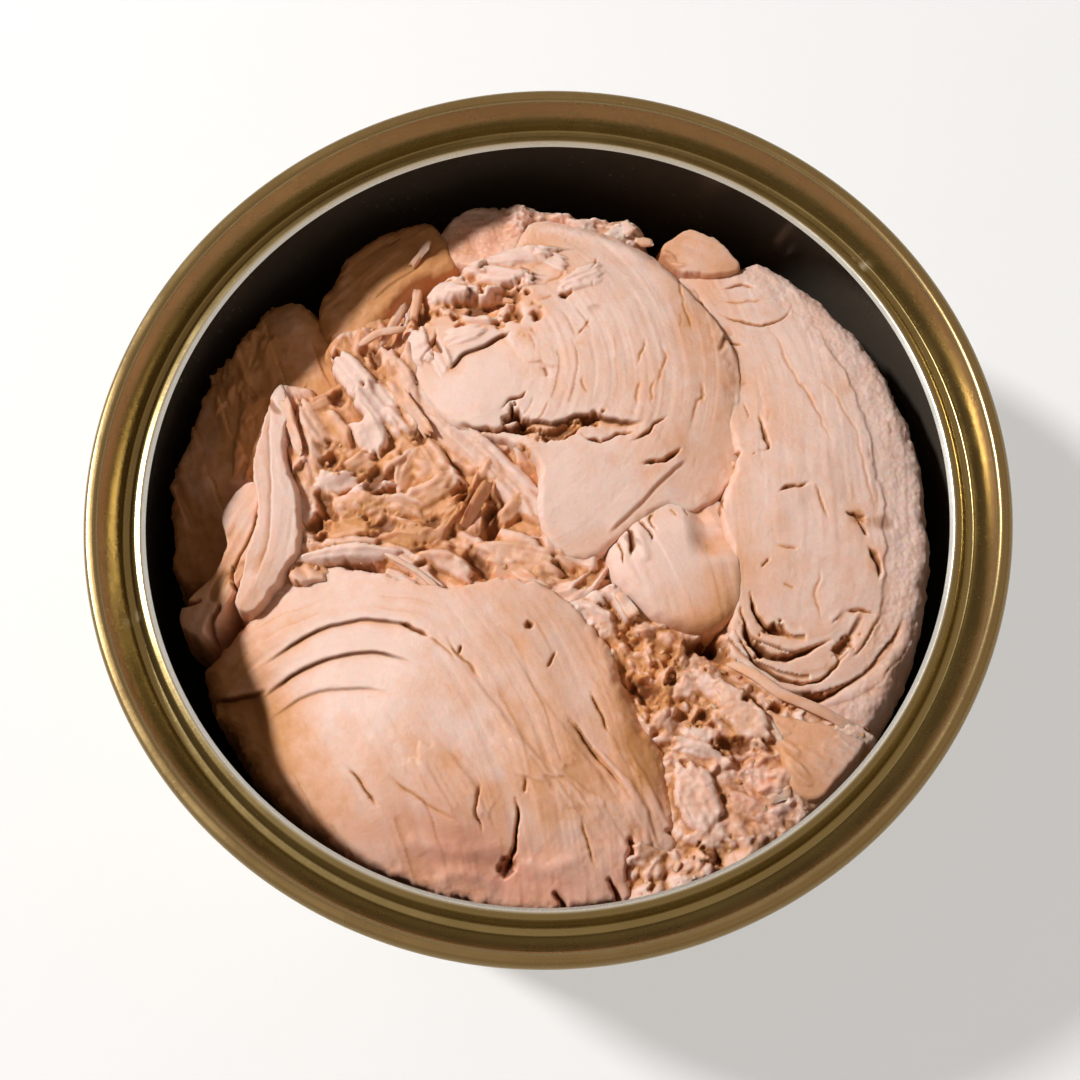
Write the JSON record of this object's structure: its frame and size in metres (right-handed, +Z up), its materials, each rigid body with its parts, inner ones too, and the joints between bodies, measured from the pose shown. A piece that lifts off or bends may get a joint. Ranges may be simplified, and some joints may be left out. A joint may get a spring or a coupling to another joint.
{
  "type": "opened tuna can",
  "caption": "Round food can with its lid torn out, a double seam and inner ledge left at the rim, holding chunks and loose flakes of cooked tuna.",
  "frame": {"origin": "middle of the plane that the can stands on", "axes": "+Z up along the can's axis, +Y away from the viewer, +X to the viewer's right"},
  "size_m": [0.0866, 0.0866, 0.038],
  "materials": {
    "can_plate": "satin gold lacquer on tinplate",
    "end_plate": "glossy bronze lacquer on tinplate, bare silver at the torn edge",
    "tuna": "moist cooked fish"
  },
  "bodies": {
    "root": {"can_body": "can_plate", "end_ring": "end_plate", "chunk_back": "tuna", "chunk_front": "tuna", "chunk_middle": "tuna", "chunk_right": "tuna", "chunk_corner": "tuna", "chunk_back_left": "tuna", "strip_back": "tuna", "chunk_left": "tuna", "slice_inner": "tuna", "slice_outer": "tuna", "flap_right": "tuna", "heap_centre": "tuna", "heap_right": "tuna"}
  },
  "joints": []
}
